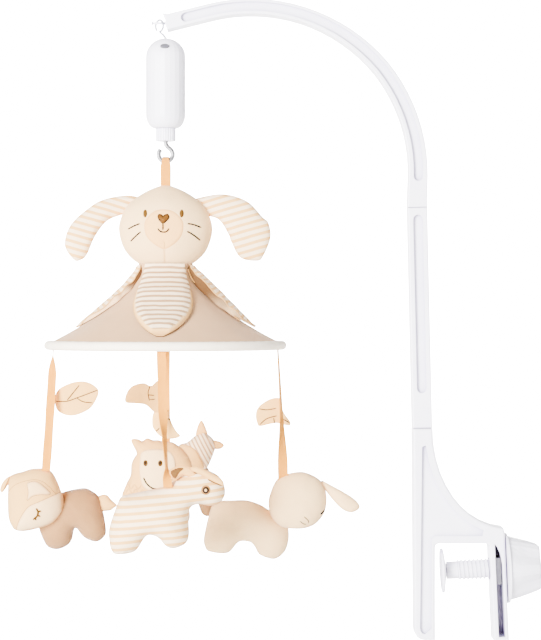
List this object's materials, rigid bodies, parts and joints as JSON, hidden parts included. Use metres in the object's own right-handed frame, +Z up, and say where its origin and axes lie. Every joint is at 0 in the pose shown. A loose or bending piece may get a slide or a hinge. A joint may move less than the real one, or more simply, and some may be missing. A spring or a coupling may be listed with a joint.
{
  "type": "crib mobile",
  "caption": "Clamp-on arched arm with a hanging music box that turns a rabbit canopy hung with soft animal toys.",
  "frame": {"origin": "middle of the rail seat, the flat underside of the clamp bracket's bridge", "axes": "+Z up, +X from the fixed jaw towards the clamp knob, -Y towards the viewer of the rabbit's face"},
  "size_m": [0.53, 0.2686, 0.6378],
  "materials": {
    "white_plastic": "satin moulded white plastic",
    "clear_plastic": "clear moulded plastic",
    "grey_plastic": "matte grey plastic",
    "satin_steel": "satin plated steel",
    "brass": "turned brass",
    "circuit_board": "solder-masked board",
    "battery_sleeve": "plain printed sleeve",
    "gear_nylon": "natural nylon",
    "black_plastic": "matte black plastic",
    "cream_fabric": "brushed cream velour",
    "beige_fabric": "plain beige cotton",
    "striped_fabric": "cotton with narrow cream and beige stripes",
    "peach_fabric": "woven peach cotton tape and velour"
  },
  "bodies": {
    "arm": {"arch_arm": "white_plastic", "middle_post": "white_plastic", "clamp_bracket": "white_plastic", "clamp_nut": "satin_steel", "hanger_pin": "white_plastic"},
    "swivel": {"swivel_stud": "white_plastic"},
    "screw": {"clamp_screw": "white_plastic", "clamp_knob": "white_plastic"},
    "pad": {"pressure_pad": "white_plastic"},
    "music_box": {"case_front": "white_plastic", "case_back": "white_plastic", "battery_cover": "white_plastic", "cover_screw": "satin_steel", "battery_cell_left": "battery_sleeve", "battery_cell_right": "battery_sleeve", "battery_contact_lower": "satin_steel", "battery_contact_upper": "satin_steel", "circuit_board": "circuit_board", "tact_switch": "black_plastic", "speaker": "black_plastic", "motor": "satin_steel", "output_bush": "brass", "hanger_eye": "clear_plastic"},
    "button": {"power_button": "grey_plastic"},
    "spindle": {"output_shaft": "satin_steel", "spindle_collar": "white_plastic", "spindle_hook": "satin_steel", "drive_gear": "gear_nylon"},
    "pinion": {"motor_pinion": "brass"},
    "canopy": {"top_ribbon": "peach_fabric", "rabbit_head": "cream_fabric", "rabbit_ear_left": "striped_fabric", "rabbit_ear_right": "striped_fabric", "belly_petal": "striped_fabric", "left_petal": "striped_fabric", "right_petal": "striped_fabric", "back_petal": "striped_fabric", "canopy_cone": "beige_fabric", "hoop_ring": "white_plastic", "hoop_sleeve": "cream_fabric"},
    "fawn": {"fawn_ribbon": "peach_fabric", "fawn_toy_head": "cream_fabric", "fawn_toy_body": "peach_fabric", "fawn_leaf": "beige_fabric"},
    "bunny": {"bunny_ribbon": "peach_fabric", "bunny_toy_head": "cream_fabric", "bunny_toy_body": "cream_fabric", "bunny_leaf": "beige_fabric"},
    "pony": {"pony_ribbon": "peach_fabric", "pony_toy_head": "striped_fabric", "pony_toy_body": "striped_fabric", "pony_leaf": "beige_fabric"},
    "horse": {"horse_ribbon": "peach_fabric", "horse_toy_head": "striped_fabric", "horse_toy_body": "beige_fabric", "horse_leaf": "beige_fabric"},
    "lion": {"lion_ribbon": "peach_fabric", "lion_toy_head": "peach_fabric", "lion_toy_body": "beige_fabric"}
  },
  "joints": [
    {"name": "clamp_travel", "type": "slide", "parent": "arm", "child": "swivel", "axis": [0.999, 0, 0.0436], "range_m": [0, 0.038]},
    {"name": "knob_turn", "type": "hinge", "parent": "swivel", "child": "screw", "pos_m": [0, 0, -0.0277], "axis": [0.999, 0, 0.0436], "range_deg": [0, 3340]},
    {"name": "pad_tilt", "type": "hinge", "parent": "swivel", "child": "pad", "pos_m": [-0.01579, 0, -0.02839], "axis": [0, 1, 0], "range_deg": [-5, 5]},
    {"name": "music_box_swing", "type": "hinge", "parent": "arm", "child": "music_box", "pos_m": [-0.2953, 0, 0.5186], "axis": [1, 0, 0], "range_deg": [-15, 15]},
    {"name": "power_button_press", "type": "slide", "parent": "music_box", "child": "button", "axis": [0, 0.8749, -0.4844], "range_m": [0, 0.0012], "stiffness_N_per_m": 800},
    {"name": "hanger_spin", "type": "hinge", "parent": "music_box", "child": "spindle", "pos_m": [-0.2953, 0, 0.4135], "axis": [0, 0, 1], "continuous": true},
    {"name": "pinion_spin", "type": "hinge", "parent": "music_box", "child": "pinion", "pos_m": [-0.2953, -0.0109, 0.4135], "axis": [0, 0, 1], "continuous": true},
    {"name": "canopy_swing", "type": "hinge", "parent": "spindle", "child": "canopy", "pos_m": [-0.2953, 0, 0.38045], "axis": [1, 0, 0], "range_deg": [-20, 20]},
    {"name": "fawn_swing", "type": "hinge", "parent": "canopy", "child": "fawn", "pos_m": [-0.40723, -0.00391, 0.19095], "axis": [1, 0, 0], "range_deg": [-15, 15]},
    {"name": "bunny_swing", "type": "hinge", "parent": "canopy", "child": "bunny", "pos_m": [-0.18337, 0.00391, 0.19095], "axis": [1, 0, 0], "range_deg": [-15, 15]},
    {"name": "pony_swing", "type": "hinge", "parent": "canopy", "child": "pony", "pos_m": [-0.29139, -0.11193, 0.19095], "axis": [1, 0, 0], "range_deg": [-15, 15]},
    {"name": "horse_swing", "type": "hinge", "parent": "canopy", "child": "horse", "pos_m": [-0.29921, 0.11193, 0.19095], "axis": [1, 0, 0], "range_deg": [-15, 15]},
    {"name": "lion_swing", "type": "hinge", "parent": "canopy", "child": "lion", "pos_m": [-0.2953, 0, 0.274], "axis": [1, 0, 0], "range_deg": [-15, 15]}
  ],
  "couplings": [
    {"joint": "knob_turn", "follows": "clamp_travel", "rad_per_m": 1532.5},
    {"joint": "pinion_spin", "follows": "hanger_spin", "ratio": -4.4}
  ]
}
